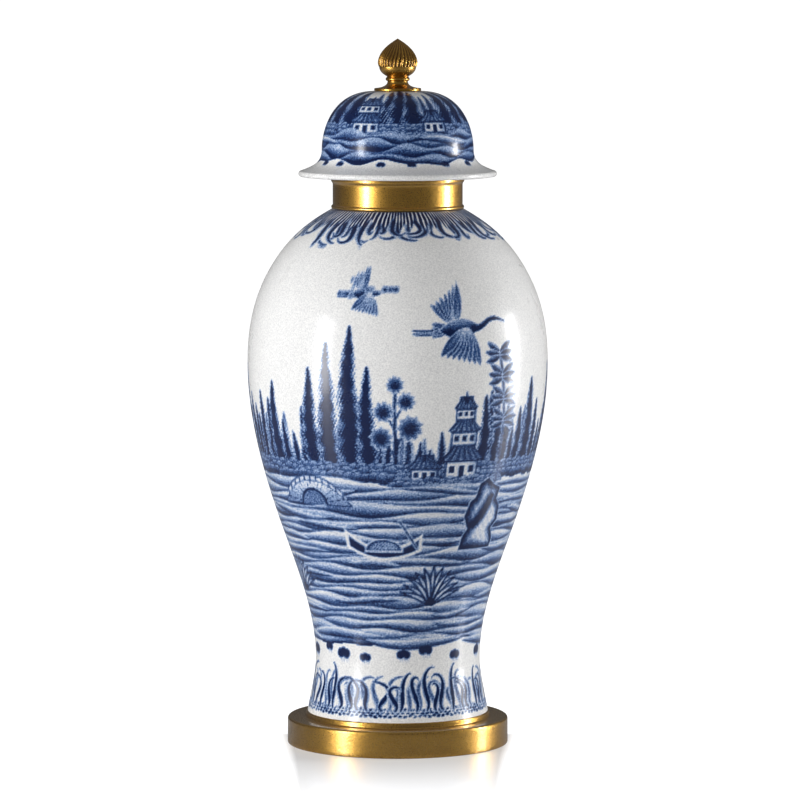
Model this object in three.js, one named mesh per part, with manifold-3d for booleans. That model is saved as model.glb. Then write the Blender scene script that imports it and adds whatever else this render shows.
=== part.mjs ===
// A tall baluster jar of glazed porcelain with a domed lid, fitted with a turned brass plinth,
// a brass band round the neck and a fluted brass finial.
// Millimetres, +Z up. The origin is the middle of the plinth's underside.
// Every piece is turned: an outline in radius and height, spun round +Z.
// The finial's bud is turned too, and its wall is then pressed into flutes.
import * as THREE from "three";
import { mergeVertices } from "three/addons/utils/BufferGeometryUtils.js";
import Module from "manifold-3d";

// Clearances between the pieces
const bedding = 0.2; // under a piece that rests on another
const mountPlay = 0.4; // round the foot and the neck, inside their brass mounts
const lidPlay = 1.2; // round the lid's flange, inside the mouth

// Plinth: a turned drum, hollow underneath, with a raised rim that holds the jar's foot
const ledgeWidth = 16; // from the rim to the drum's side
const drumHeight = 23;
const drumWall = 3.5;
const drumTopRounding = 2.2;
const drumFootChamfer = 0.8;
const rimHeight = 5;
const rimWall = 2.8;
const rimFillet = 1.4;

// Jar: a rise is the height from the named place below, and a slope is the change of radius with height
const footRadius = 76.4;
const footRounding = 2.4;
const footRingWidth = 9;
const footRecess = 4.5;
const recessTaper = 1;
const flareHeight = 10.2;
const flareProud = 0.9; // past the foot
const flareSlope = -0.18;
const waistRise = 41.4;
const waistRadius = 71.2;
const flankRise = 104.4;
const flankRadius = 96.5;
const flankSlope = 0.36;
const bellyRise = 152.3;
const bellyRadius = 129.7;
const shoulderRise = 90;
const shoulderInset = 25.2; // inside the belly
const shoulderSlope = -0.676;
const neckFootRise = 41.9;
const neckFootSlope = -1.8;
const neckRadius = 53.4;
const neckLength = 27.4;
const jarWall = 5.2;
const jarFloor = 7;
const mouthRounding = 1.5;

// Neck band: a brass sleeve with a bead at its lower edge and a flared lip at its upper one
const bandWall = 2.2;
const beadRadius = 1.9;
const beadProud = 1.3;
const bandLipProud = 1.5;
const bandLipHeight = 3;
const bandLipFlare = 3.4;

// Lid: heights are above the plane in which its brim lies on the neck band
const domeRadius = 65.4;
const domeSpring = 23.6; // where the dome starts
const domeHeight = 73.4;
const domeRise = 16; // how far the dome runs straight up before it leans in
const domeSweep = 36; // how far it runs level out from the crown
const crownMargin = 0.6; // flat crown round the finial's foot
const brimWidth = 20.1; // past the dome
const brimLipRadius = 2.6;
const brimSlope = 0.4;
const brimSweep = 0.57; // share of the brim's width that the slope runs for
const brimTuck = 12; // how far the brim turns up under the dome
const lidWall = 5;
const flangeDepth = 13;
const flangeWall = 4;

// Finial: heights are above its own underside
const finialFootRadius = 20.2;
const finialFootThickness = 2.3;
const edgeBreak = 0.5;
const stemRadius = 8.7;
const stemHeight = 8.4;
const stemFlare = 5; // how far the foot's hollow moulding reaches out from the stem
const stemFlareRise = 2;
const ringProud = 1.7; // past the stem
const ringThickness = 3.4;
const bowlGroove = 0.6;
const bowlFootRadius = 9.2;
const bowlSpread = 3;
const bowlHeight = 8.4;
const budRadius = 17.1;
const budOverhang = 1.2; // past the bowl
const budHeight = 24.2;
const budWidestHeight = 3;
const budShoulder = 12;
const budTipWidth = 2;
const budTipFall = 1.6;
const fluteCount = 32;
const fluteDepth = 0.9;
const fluteTurnDegrees = 14; // how far a flute leans round the axis from its foot to the tip

// How finely the round forms are cut
const turnSegments = 40;
const finialSegments = 24;
const pointsPerFlute = 2;
const boreStepShare = 0.6; // the inside of the jar takes fewer steps than the outside

const porcelain = { color: 0xe8eaee, roughness: 0.12, metalness: 0 };
const brass = { color: 0xb28a3c, roughness: 0.34, metalness: 1 };

// Sizes that follow from the ones above
const rimInnerRadius = footRadius + mountPlay;
const rimOuterRadius = rimInnerRadius + rimWall;
const drumRadius = rimOuterRadius + ledgeWidth;
const bandInnerRadius = neckRadius + mountPlay;
const bandRadius = bandInnerRadius + bandWall;
const neckFootRadius = bandRadius + beadProud;
const waistHeight = flareHeight + waistRise;
const flankHeight = waistHeight + flankRise;
const bellyHeight = flankHeight + bellyRise;
const shoulderHeight = bellyHeight + shoulderRise;
const neckFootHeight = shoulderHeight + neckFootRise;
const mouthHeight = neckFootHeight + neckLength;
const mouthRadius = neckRadius - jarWall;
const bandLength = neckLength + bedding;
const flangeRadius = mouthRadius - lidPlay;
const crownRadius = finialFootRadius + crownMargin;
const bowlRadius = budRadius - budOverhang;
const jarBase = drumHeight + bedding;
const bandBase = jarBase + neckFootHeight + bedding;
const lidBase = bandBase + bandLength + bedding;
const finialBase = lidBase + domeHeight + bedding;

const point = (radius, height) => new THREE.Vector2(radius, height);

// Points of a cubic Bezier from start to end, without its first point.
function bend(start, startHandle, endHandle, end, steps) {
  const curve = new THREE.CubicBezierCurve(start, startHandle, endHandle, end);
  return curve.getPoints(steps).slice(1);
}

// Points of an arc round a centre, from one angle to another in degrees, with both ends.
function arc(centre, radius, fromDegrees, toDegrees, steps) {
  const points = [];
  for (let i = 0; i <= steps; i++) {
    const degrees = fromDegrees + ((toDegrees - fromDegrees) * i) / steps;
    const angle = THREE.MathUtils.degToRad(degrees);
    points.push(
      point(centre.x + radius * Math.cos(angle), centre.y + radius * Math.sin(angle)),
    );
  }
  return points;
}

// A closed geometry with +Z up, from an outline that starts and ends on the axis or on one point.
function turn(outline, segments = turnSegments) {
  return new THREE.LatheGeometry(outline, segments).rotateX(Math.PI / 2);
}

function plinthOutline() {
  const corner = point(drumRadius - drumTopRounding, drumHeight - drumTopRounding);
  const fillet = point(rimOuterRadius + rimFillet, drumHeight + rimFillet);
  const crest = point(rimInnerRadius + rimWall / 2, drumHeight + rimHeight - rimWall / 2);
  return [
    point(0, drumHeight - drumWall),
    point(drumRadius - drumWall, drumHeight - drumWall),
    point(drumRadius - drumWall, 0),
    point(drumRadius - drumFootChamfer, 0),
    point(drumRadius, drumFootChamfer),
    ...arc(corner, drumTopRounding, 0, 90, 3),
    ...arc(fillet, rimFillet, -90, -180, 2),
    ...arc(crest, rimWall / 2, 0, 180, 4),
    point(rimInnerRadius, drumHeight),
    point(0, drumHeight),
  ];
}

// The jar's outer wall is a smooth line through these places, cut into steps up to the next one.
const jarStations = [
  { z: flareHeight, r: footRadius + flareProud, slope: flareSlope, steps: 4 },
  { z: waistHeight, r: waistRadius, slope: 0, steps: 5 },
  { z: flankHeight, r: flankRadius, slope: flankSlope, steps: 6 },
  { z: bellyHeight, r: bellyRadius, slope: 0, steps: 5 },
  { z: shoulderHeight, r: bellyRadius - shoulderInset, slope: shoulderSlope, steps: 5 },
  { z: neckFootHeight, r: neckFootRadius, slope: neckFootSlope, steps: 0 },
];

// Radius of the jar's outer wall at a height, from the flare to the foot of the neck.
// Below the flare the first curve runs on.
function jarRadiusAt(z) {
  const last = jarStations.length - 2;
  const found = jarStations.findIndex((s, i) => i === last || z < jarStations[i + 1].z);
  const from = jarStations[found];
  const to = jarStations[found + 1];
  const span = to.z - from.z;
  const t = (z - from.z) / span;
  const rest = 1 - t;
  return (
    rest * rest * (1 + 2 * t) * from.r +
    rest * rest * t * span * from.slope +
    t * t * (1 + 2 * rest) * to.r -
    t * t * rest * span * to.slope
  );
}

// Radius inside the jar at a height. The wall's thickness is measured square to the wall.
function jarBoreAt(z) {
  const probe = 0.01;
  const slope = (jarRadiusAt(z) - jarRadiusAt(z - probe)) / probe;
  return Math.max(mouthRadius, jarRadiusAt(z) - jarWall * Math.hypot(1, slope));
}

// Points up the jar's wall, each a step above the last. A share under 1 takes fewer steps.
function wallPoints(radiusAt, share) {
  return jarStations.slice(0, -1).flatMap((from, i) => {
    const steps = Math.round(from.steps * share);
    const climb = (jarStations[i + 1].z - from.z) / steps;
    return Array.from({ length: steps }, (_, n) => {
      const z = from.z + climb * n;
      return point(radiusAt(z), z);
    });
  });
}

function jarOutline() {
  const floorHeight = footRecess + jarFloor;
  const bore = wallPoints(jarBoreAt, boreStepShare).filter((p) => p.y > floorHeight);
  const footEdge = point(footRadius - footRounding, footRounding);
  const mouthEdge = point(neckRadius - mouthRounding, mouthHeight - mouthRounding);
  return [
    point(0, footRecess),
    point(footRadius - footRingWidth - recessTaper, footRecess),
    point(footRadius - footRingWidth, 0),
    ...arc(footEdge, footRounding, -90, 0, 2),
    ...wallPoints(jarRadiusAt, 1),
    point(neckFootRadius, neckFootHeight),
    point(neckRadius, neckFootHeight),
    ...arc(mouthEdge, mouthRounding, 0, 90, 2),
    point(mouthRadius, mouthHeight),
    point(mouthRadius, neckFootHeight),
    ...bore.reverse(),
    point(jarBoreAt(floorHeight), floorHeight),
    point(0, floorHeight),
  ];
}

function bandOutline() {
  const bead = point(bandRadius + beadProud - beadRadius, beadRadius);
  const beadMeets = THREE.MathUtils.radToDeg(Math.acos((beadRadius - beadProud) / beadRadius));
  const lipRadius = bandRadius + bandLipProud;
  const lipBottom = bandLength - bandLipHeight;
  const flareStart = point(bandRadius, lipBottom - bandLipFlare);
  return [
    point(bandInnerRadius, 0),
    ...arc(bead, beadRadius, -90, beadMeets, 4),
    flareStart,
    ...bend(
      flareStart,
      point(bandRadius, lipBottom - bandLipFlare / 2),
      point(lipRadius, lipBottom - bandLipFlare / 3),
      point(lipRadius, lipBottom),
      2,
    ),
    point(lipRadius, bandLength),
    point(bandInnerRadius, bandLength),
    point(bandInnerRadius, 0),
  ];
}

// The dome's line from its spring to the crown, a given wall inside the outer face.
function domeLine(wall, steps) {
  const radius = domeRadius - wall;
  const top = domeHeight - wall;
  return bend(
    point(radius, domeSpring),
    point(radius, domeSpring + domeRise),
    point(crownRadius + domeSweep - wall, top),
    point(crownRadius, top),
    steps,
  );
}

function lidOutline() {
  const lipCentre = point(domeRadius + brimWidth - brimLipRadius, brimLipRadius);
  const brimTop = point(lipCentre.x, 2 * brimLipRadius);
  const run = brimSweep * (lipCentre.x - domeRadius);
  const brim = bend(
    brimTop,
    point(brimTop.x - run, brimTop.y + run * brimSlope),
    point(domeRadius, domeSpring - brimTuck),
    point(domeRadius, domeSpring),
    5,
  );
  return [
    point(0, domeHeight - lidWall),
    ...domeLine(lidWall, 5).reverse(),
    point(domeRadius - lidWall, domeSpring),
    point(domeRadius - lidWall, lidWall),
    point(flangeRadius - flangeWall, lidWall),
    point(flangeRadius - flangeWall, -flangeDepth),
    point(flangeRadius, -flangeDepth),
    point(flangeRadius, 0),
    ...arc(lipCentre, brimLipRadius, -90, 90, 4),
    ...brim,
    ...domeLine(0, 7),
    point(0, domeHeight),
  ];
}

// The finial's heights where its ring ends and where its bowl meets the bud
const ringTop = stemHeight + ringThickness;
const budBase = ringTop + bowlGroove + bowlHeight;

// The finial's foot, stem, ring and bowl. The last stretch ends inside the bud, to be joined to it.
function stemOutline() {
  const ring = point(stemRadius + ringProud - ringThickness / 2, ringTop - ringThickness / 2);
  const flareFoot = point(finialFootRadius, finialFootThickness);
  const bowlFoot = point(bowlFootRadius, ringTop + bowlGroove);
  return [
    point(0, 0),
    point(finialFootRadius - edgeBreak, 0),
    point(finialFootRadius, edgeBreak),
    flareFoot,
    ...bend(
      flareFoot,
      point(stemRadius + stemFlare, finialFootThickness + edgeBreak),
      point(stemRadius, finialFootThickness + stemFlareRise),
      point(stemRadius, stemHeight),
      4,
    ),
    ...arc(ring, ringThickness / 2, -60, 60, 4),
    bowlFoot,
    ...bend(
      bowlFoot,
      point(bowlFoot.x + bowlSpread, bowlFoot.y + bowlSpread / 2),
      point(bowlRadius, budBase - bowlHeight / 2),
      point(bowlRadius, budBase),
      4,
    ),
    point(bowlRadius - fluteDepth, budBase + budWidestHeight),
    point(0, budBase + budWidestHeight),
  ];
}

// The bud before its wall is pressed in: pointed, and widest a little above the bowl.
function budOutline() {
  const widest = point(budRadius, budBase + budWidestHeight);
  const tip = point(0, budBase + budHeight);
  return [
    point(0, budBase),
    point(bowlRadius + edgeBreak, budBase),
    point(budRadius - edgeBreak, budBase + 2 * edgeBreak),
    widest,
    ...bend(
      widest,
      point(budRadius, widest.y + budShoulder),
      point(budTipWidth, tip.y - budTipFall),
      tip,
      7,
    ),
  ];
}

// The bud with its flutes, which start above its lower edge, die out at the tip
// and lean round the axis as they climb.
function budGeometry() {
  const geometry = turn(budOutline(), fluteCount * pointsPerFlute);
  const places = geometry.getAttribute("position");
  const lean = THREE.MathUtils.degToRad(fluteTurnDegrees);
  for (let i = 0; i < places.count; i++) {
    const radius = Math.hypot(places.getX(i), places.getY(i));
    const angle = Math.atan2(places.getY(i), places.getX(i));
    const climb = (places.getZ(i) - budBase) / budHeight;
    const depth = climb > 0 ? (fluteDepth * radius) / budRadius : 0;
    const pressed = radius - (depth / 2) * (1 - Math.cos(fluteCount * angle));
    const turned = angle + lean * climb;
    places.setXY(i, pressed * Math.cos(turned), pressed * Math.sin(turned));
  }
  return geometry;
}

const wasm = await Module();
wasm.setup();

// A three.js geometry as a solid that can be joined to another.
function solidOf(geometry) {
  const bare = geometry.clone();
  bare.deleteAttribute("normal");
  bare.deleteAttribute("uv");
  const merged = mergeVertices(bare, 1e-3);
  return new wasm.Manifold(
    new wasm.Mesh({
      numProp: 3,
      vertProperties: merged.getAttribute("position").array,
      triVerts: new Uint32Array(merged.index.array),
    }),
  );
}

function geometryOf(solid) {
  const mesh = solid.getMesh();
  const geometry = new THREE.BufferGeometry();
  geometry.setAttribute("position", new THREE.BufferAttribute(mesh.vertProperties, 3));
  geometry.setIndex(new THREE.BufferAttribute(mesh.triVerts, 1));
  geometry.computeVertexNormals();
  return geometry;
}

function finialGeometry() {
  const stem = solidOf(turn(stemOutline(), finialSegments));
  return geometryOf(stem.add(solidOf(budGeometry())));
}

function piece(name, geometry, finish, height) {
  const mesh = new THREE.Mesh(geometry, new THREE.MeshStandardMaterial(finish));
  mesh.name = name;
  mesh.position.z = height;
  return mesh;
}

const jar = new THREE.Group();
jar.add(piece("plinth", turn(plinthOutline()), brass, 0));
jar.add(piece("jar_body", turn(jarOutline()), porcelain, jarBase));
jar.add(piece("neck_band", turn(bandOutline()), brass, bandBase));
jar.add(piece("lid", turn(lidOutline()), porcelain, lidBase));
jar.add(piece("finial", finialGeometry(), brass, finialBase));

export default jar;
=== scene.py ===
import math

import bpy
import numpy as np
from bpy.props import FloatProperty, FloatVectorProperty, IntProperty, PointerProperty
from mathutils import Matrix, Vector
from numpy import clip, cos, hypot, maximum, minimum, radians, sin


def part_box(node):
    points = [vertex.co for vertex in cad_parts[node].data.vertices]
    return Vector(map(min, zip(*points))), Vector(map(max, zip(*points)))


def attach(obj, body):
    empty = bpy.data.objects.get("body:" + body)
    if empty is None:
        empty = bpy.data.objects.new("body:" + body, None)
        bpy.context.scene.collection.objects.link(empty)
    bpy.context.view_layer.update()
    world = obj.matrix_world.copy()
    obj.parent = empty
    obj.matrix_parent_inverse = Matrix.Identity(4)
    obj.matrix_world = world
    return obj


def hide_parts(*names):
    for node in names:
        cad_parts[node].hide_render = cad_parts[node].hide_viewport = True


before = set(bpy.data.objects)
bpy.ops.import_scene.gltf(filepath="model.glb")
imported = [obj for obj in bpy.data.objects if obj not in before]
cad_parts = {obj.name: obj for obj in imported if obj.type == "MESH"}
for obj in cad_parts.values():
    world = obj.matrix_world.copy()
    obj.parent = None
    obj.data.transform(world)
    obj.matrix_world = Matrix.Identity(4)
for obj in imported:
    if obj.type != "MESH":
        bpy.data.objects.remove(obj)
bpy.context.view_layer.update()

bl_info = {
    "name": "Covered porcelain jar",
    "version": (1, 0, 0),
    "blender": (4, 5, 0),
    "location": "3D View > Sidebar > Covered Jar",
    "description": "Makes a tall blue and white jar with its lid and brass mounts",
    "category": "Object",
}


def low(node):
    """Height of a CAD node's lowest point."""
    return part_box(node)[0].z


def high(node):
    """Height of a CAD node's highest point."""
    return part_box(node)[1].z


def reach(node):
    """Largest radius of a CAD node."""
    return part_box(node)[1].x


def length(name, default, description):
    return FloatProperty(name=name, description=description, default=default, unit="LENGTH", precision=4)


def slope(name, default, description):
    return FloatProperty(name=name, description=description, default=default, precision=3)


def colour(name, default, description):
    return FloatVectorProperty(
        name=name, description=description, default=default, size=3, min=0, max=1, subtype="COLOR"
    )


class JarBodySizes(bpy.types.PropertyGroup):
    """Heights are above the jar's own foot. A slope is the change of radius with height."""

    foot_radius: length("Foot radius", 0.0764, "Radius of the foot inside the plinth's rim")
    foot_rounding: length("Foot rounding", 0.0024, "Rounding of the foot's lower edge")
    foot_ring: length("Foot ring", 0.009, "Width of the ring that the jar stands on")
    recess: length("Foot recess", 0.0045, "Depth of the hollow inside the foot ring")
    flare_height: length("Flare height", 0.0102, "Height of the widest place above the foot")
    flare_radius: length("Flare radius", 0.0773, "Radius there")
    flare_slope: slope("Flare slope", -0.18, "Slope there")
    waist_height: length("Waist height", 0.0516, "Height of the narrowest place below the belly")
    waist_radius: length("Waist radius", 0.0712, "Radius there")
    flank_height: length("Flank height", 0.156, "Height of the middle of the flank")
    flank_radius: length("Flank radius", 0.0965, "Radius there")
    flank_slope: slope("Flank slope", 0.36, "Slope there")
    belly_height: length("Belly height", 0.3083, "Height of the widest place")
    shoulder_height: length("Shoulder height", 0.3983, "Height of the shoulder")
    shoulder_radius: length("Shoulder radius", 0.1045, "Radius there")
    shoulder_slope: slope("Shoulder slope", -0.676, "Slope there")
    neck_foot_height: length("Neck foot height", 0.4402, "Height where the neck starts")
    neck_foot_radius: length("Neck foot radius", 0.0573, "Radius there")
    neck_foot_slope: slope("Neck foot slope", -1.8, "Slope there")
    neck_radius: length("Neck radius", 0.0534, "Radius of the neck inside its brass band")
    wall: length("Wall", 0.0052, "Thickness of the porcelain")
    floor: length("Floor", 0.007, "Thickness of the jar's floor")
    rounding: length("Mouth rounding", 0.0015, "Rounding of the mouth's edge")


class LidSizes(bpy.types.PropertyGroup):
    """Heights are above the plane in which the brim lies on the neck band."""

    radius: length("Dome radius", 0.0654, "Radius of the dome")
    spring: length("Dome spring", 0.0236, "Height where the dome starts")
    height: length("Dome height", 0.0734, "Height of the crown")
    rise: length("Dome rise", 0.016, "How far the dome runs up before it leans in")
    sweep: length("Dome sweep", 0.036, "How far it runs level out from the crown")
    crown: length("Crown radius", 0.0208, "Radius of the flat crown")
    lip: length("Lip radius", 0.0026, "Radius of the brim's rounded edge")
    brim_slope: slope("Brim slope", 0.4, "Slope of the brim next to its edge")
    brim_sweep: slope("Brim sweep", 0.57, "Share of the brim's width that the slope runs for")
    brim_tuck: length("Brim tuck", 0.012, "How far the brim turns up under the dome")
    wall: length("Wall", 0.005, "Thickness of the porcelain")
    flange_radius: length("Flange radius", 0.047, "Radius of the flange that goes into the mouth")
    flange_wall: length("Flange wall", 0.004, "Thickness of the flange")
    flange_depth: length("Flange depth", 0.013, "How far the flange goes into the mouth")
    flange_edge: length("Flange edge", 0.001, "Width of the broken edges at the flange's foot")


class MountSizes(bpy.types.PropertyGroup):
    """Sizes of the brass: the plinth, the neck band and the finial."""

    drum_height: length("Drum height", 0.023, "Height of the plinth's drum")
    drum_wall: length("Drum wall", 0.0035, "Thickness of the drum")
    drum_rounding: length("Drum rounding", 0.0022, "Rounding of the drum's upper edge")
    rim_radius: length("Rim radius", 0.0768, "Radius inside the rim that holds the jar")
    rim_wall: length("Rim wall", 0.0028, "Thickness of that rim")
    rim_height: length("Rim height", 0.005, "Height of that rim above the drum")
    rim_fillet: length("Rim fillet", 0.0014, "Hollow rounding at the foot of the rim")
    edge: length("Edge break", 0.0008, "Width of the small broken edges")
    band_bore: length("Band bore", 0.0538, "Radius inside the neck band")
    band_wall: length("Band wall", 0.0022, "Thickness of the neck band")
    bead: length("Bead radius", 0.0019, "Radius of the bead at the band's lower edge")
    bead_proud: length("Bead proud", 0.0013, "How far that bead stands out")
    lip_height: length("Lip height", 0.003, "Height of the band's upper lip")
    lip_flare: length("Lip flare", 0.0034, "Height over which the band widens to its lip")
    foot_thickness: length("Finial foot", 0.0023, "Thickness of the finial's foot")
    stem_radius: length("Stem radius", 0.0087, "Radius of the finial's stem")
    stem_height: length("Stem height", 0.0084, "Height where the finial's ring starts")
    ring: length("Ring thickness", 0.0034, "Thickness of the finial's ring")
    ring_proud: length("Ring proud", 0.0017, "How far that ring stands out")
    bowl_foot: length("Bowl foot", 0.0092, "Radius at the foot of the finial's bowl")
    bowl_height: length("Bowl height", 0.0084, "Height of that bowl")
    bowl_radius: length("Bowl radius", 0.0159, "Radius of that bowl")
    bud_radius: length("Bud radius", 0.0171, "Largest radius of the bud")
    bud_shoulder: length("Bud shoulder", 0.012, "How far the bud's side runs straight up")
    flutes: IntProperty(name="Flutes", description="Number of flutes round the bud", default=32, min=3)
    flute_depth: length("Flute depth", 0.0009, "Depth of the flutes")
    flute_turn: FloatProperty(
        name="Flute turn", description="How far a flute leans round",
        default=math.radians(14), subtype="ANGLE",
    )


class Finishes(bpy.types.PropertyGroup):
    """Colours of the glaze, the painting and the brass."""

    porcelain: colour("Porcelain", (0.93, 0.925, 0.91), "Bare porcelain under the glaze")
    pale_wash: colour("Pale wash", (0.31, 0.44, 0.69), "Thin cobalt")
    full_wash: colour("Full wash", (0.046, 0.108, 0.29), "Cobalt laid on evenly")
    dark_wash: colour("Dark wash", (0.001, 0.01, 0.062), "Cobalt where it is deepest")
    brass: colour("Brass", (0.56, 0.315, 0.055), "Clean brass")
    tarnish: colour("Tarnish", (0.17, 0.075, 0.016), "Brass that has darkened")


class StageSettings(bpy.types.PropertyGroup):
    """Where the camera stands, as seen in the photograph."""

    distance: length("Camera distance", 4.28, "From the jar's axis to the camera")
    eye: length("Camera height", 0.698, "Height of the camera")
    aside: length("Aim aside", 0.002, "How far the camera aims beside the axis")
    aim: length("Aim height", 0.298, "Height that the middle of the picture shows")
    lens: FloatProperty(name="Lens", description="Focal length in millimetres", default=223.7)


# Painting. It is worked out in millimetres on the points of a turned mesh.

EDGE = 1.5  # over which a painted edge goes from bare to full
MARGIN = 6  # round a line, wide enough for its brush


def step(start, stop, value):
    """0 before start, 1 after stop and smooth between."""
    t = clip((value - start) / (stop - start), 0, 1)
    return t * t * (3 - 2 * t)


def mix(a, b, t):
    return a + (b - a) * t


def covered(past, edge=EDGE):
    """1 inside a shape and 0 outside it, from the distance past its outline."""
    return clip(0.5 - past / edge, 0, 1)


def curve(*ends, steps=8):
    """Points along a smooth curve from the first given point to the last, pulled towards the others."""
    t = np.linspace(0, 1, steps + 1)[:, None]
    ends = [np.array(end, float) for end in ends]
    while len(ends) > 1:
        ends = [a + (b - a) * t for a, b in zip(ends, ends[1:])]
    return ends[0]


def past_line(x, y, points, widths):
    """Distance past a brush line through the points, with its half width at even places along it."""
    points = np.asarray(points, float)
    widths = np.interp(np.linspace(0, 1, len(points)), np.linspace(0, 1, len(widths)), widths)
    best = np.full(np.shape(x), 1e3)
    for (ax, ay), (bx, by), wide, narrow in zip(points, points[1:], widths, widths[1:]):
        dx, dy = bx - ax, by - ay
        t = clip(((x - ax) * dx + (y - ay) * dy) / (dx * dx + dy * dy + 1e-9), 0, 1)
        best = minimum(best, hypot(x - ax - t * dx, y - ay - t * dy) - mix(wide, narrow, t))
    return best


def past_shape(x, y, corners):
    """Distance past the outline of a closed shape, negative inside it."""
    best = np.full(np.shape(x), 1e6)
    inside = np.zeros(np.shape(x), bool)
    corners = np.asarray(corners, float)
    for (ax, ay), (bx, by) in zip(corners, np.roll(corners, -1, axis=0)):
        dx, dy = bx - ax, by - ay
        t = clip(((x - ax) * dx + (y - ay) * dy) / (dx * dx + dy * dy + 1e-9), 0, 1)
        best = minimum(best, (x - ax - t * dx) ** 2 + (y - ay - t * dy) ** 2)
        if dy:
            inside ^= ((ay <= y) != (by <= y)) & (x < ax + (y - ay) * dx / dy)
    return np.where(inside, -1, 1) * np.sqrt(best)


def past_leaf(x, y, root, tip, width):
    """Distance past a pointed leaf, and how far along and across it each point lies."""
    dx, dy = tip[0] - root[0], tip[1] - root[1]
    size = math.hypot(dx, dy)
    along = ((x - root[0]) * dx + (y - root[1]) * dy) / size**2
    across = ((y - root[1]) * dx - (x - root[0]) * dy) / size
    bulge = width * sin(math.pi * clip(along, 0, 1)) ** 0.8
    past = maximum(0, maximum(-along, along - 1)) * size
    return abs(across) - bulge + past, along, across / width


class Canvas:
    """How deep the cobalt lies on a turned piece: 0 is bare porcelain and 1 the darkest blue.

    A place is an azimuth in degrees, 0 at the front and growing to the viewer's right, and a height.
    """

    def __init__(self, azimuth, height, radius, seed):
        self.azimuth, self.height = (grid.ravel() for grid in np.meshgrid(azimuth, height))
        self.heights, self.radii = np.asarray(height), np.asarray(radius)
        self.radius = np.interp(self.height, self.heights, self.radii)
        self.depth = np.zeros(len(self.azimuth))
        self.chance = np.random.default_rng(seed)

    def degrees_for(self, width, height):
        """The angle that a width takes up at a height."""
        return math.degrees(width / np.interp(height, self.heights, self.radii))

    def near(self, azimuth, height, span):
        """Points near a place, and how far to its right and above it they lie."""
        turn = (self.azimuth - azimuth + 180) % 360 - 180
        across = radians(turn) * np.interp(height, self.heights, self.radii)
        up = self.height - height
        found = np.nonzero((abs(across) < span[0]) & (abs(up) < span[1]))[0]
        return found, across[found], up[found]

    def lay(self, found, cover, shade):
        """Lays a shade over what is there, as far as it covers."""
        self.depth[found] += (shade - self.depth[found]) * cover

    def line(self, azimuth, height, points, widths, shade):
        """Draws a brush line through points that are measured from a place."""
        found, x, y = self.near(azimuth, height, np.abs(points).max(axis=0) + MARGIN)
        self.lay(found, covered(past_line(x, y, points, widths)), shade)


def waves(canvas, top, bottom, rise, seed=0.0, turns=(2, 3, 5, 8), swing=0.17, pale=0.1, dark=0.84):
    """Bands of water or ground all the way round: pale along the top of each, dark along its foot."""
    turn = radians(canvas.azimuth)

    def edge(band):
        wander = sum(sin(n * turn + (1.7 + 0.9 * k) * band * (-1) ** k + seed * k)
                     for k, n in enumerate(turns))
        return top - rise * (band + swing * wander)

    bands = math.ceil((top - bottom) / rise)
    ends = covered(edge(bands) - canvas.height)
    for band in range(bands):
        level, foot = edge(band), edge(band + 1)
        t = clip((level - canvas.height) / maximum(level - foot, 0.5), 0, 1)
        tone = dark * (0.88 + 0.12 * sin(3 * turn + 2.9 * band))
        shade = mix(pale + 0.05 * sin(4 * turn + band), tone, step(0.18, 0.94, t))
        shade = mix(shade, 0.97, 0.85 * covered((0.94 - t) * rise - 0.3, 1.2))
        canvas.lay(slice(None), covered(canvas.height - level) * ends, shade)


def pillow(canvas, azimuth, height, long, rise, tilt, pale=0.08, dark=0.84):
    """One long lens of water over the bands, pointed at both ends and closed by a dark line."""
    found, x, y = canvas.near(azimuth, height, (long * 0.52, rise * 1.6 + abs(tilt) * long / 2))
    s = clip(x / (long / 2), -1, 1)
    y = y - tilt * x - rise * 0.2 * sin(2.6 * s + azimuth)
    half = rise * (1 - s * s) ** 0.7 + 0.01
    over, under = y - half * 0.45, -y - half * 0.55
    shade = mix(pale, dark, step(0.16, 1.0, -over / half))
    shade = mix(shade, 0.92, 0.8 * covered(abs(under + 0.5) - 0.4, 1.1))
    shade = mix(shade, 0.8, 0.55 * covered(abs(over + 0.4) - 0.2, 1.0))
    canvas.lay(found, covered(maximum(over, under)), shade)


def water(canvas, top, bottom, rise, long, **shape):
    """Bands of water with pillows strewn over them."""
    waves(canvas, top, bottom, rise, **shape)
    chance = canvas.chance
    for height in np.arange(top - rise, bottom + rise, -rise * 1.6):
        count = round(math.tau * np.interp(height, canvas.heights, canvas.radii) / (long * 2.2))
        for place in range(count):
            pillow(canvas, 360 * (place + chance.uniform(0, 0.9)) / count, height + chance.uniform(-2, 2),
                   long * chance.uniform(0.55, 1.25), rise * chance.uniform(0.9, 1.15),
                   chance.uniform(-0.07, 0.07), dark=chance.uniform(0.74, 0.94))


def cypress(canvas, azimuth, foot, height, width, dark=0.95):
    """A flame-shaped conifer with a dark core and feathered branches."""
    found, x, y = canvas.near(azimuth, foot + height / 2, (width * 1.7, height * 0.56))
    t = clip(y / height + 0.5, 0, 1)
    body = width * (1 - t) ** 0.66 * (0.62 + 0.38 * step(0, 0.25, t)) + 0.5
    x = x + 0.7 * sin(y / 11 + azimuth)
    tier = (y + 1.9 * abs(x)) / (2.8 + 0.2 * width) + 0.25 * np.sign(x)
    branch = tier % 1
    past = abs(x) - body * (0.66 + 0.46 * (1 - branch) + 0.1 * sin(5 * np.floor(tier) + azimuth))
    core = 1 - abs(x) / body
    shade = dark * mix(0.5, 1.0, step(0.05, 0.6, core + 0.18 * sin(y / 2.3)))
    shade = shade - 0.42 * step(0.5, 1.0, branch) * step(0.95, 0.3, core)
    canvas.lay(found, covered(past - 0.7, 1.0) * covered(abs(y) - height / 2), 0.14)
    canvas.lay(found, covered(past) * covered(abs(y) - height / 2), clip(shade, 0.15, 1))


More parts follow.
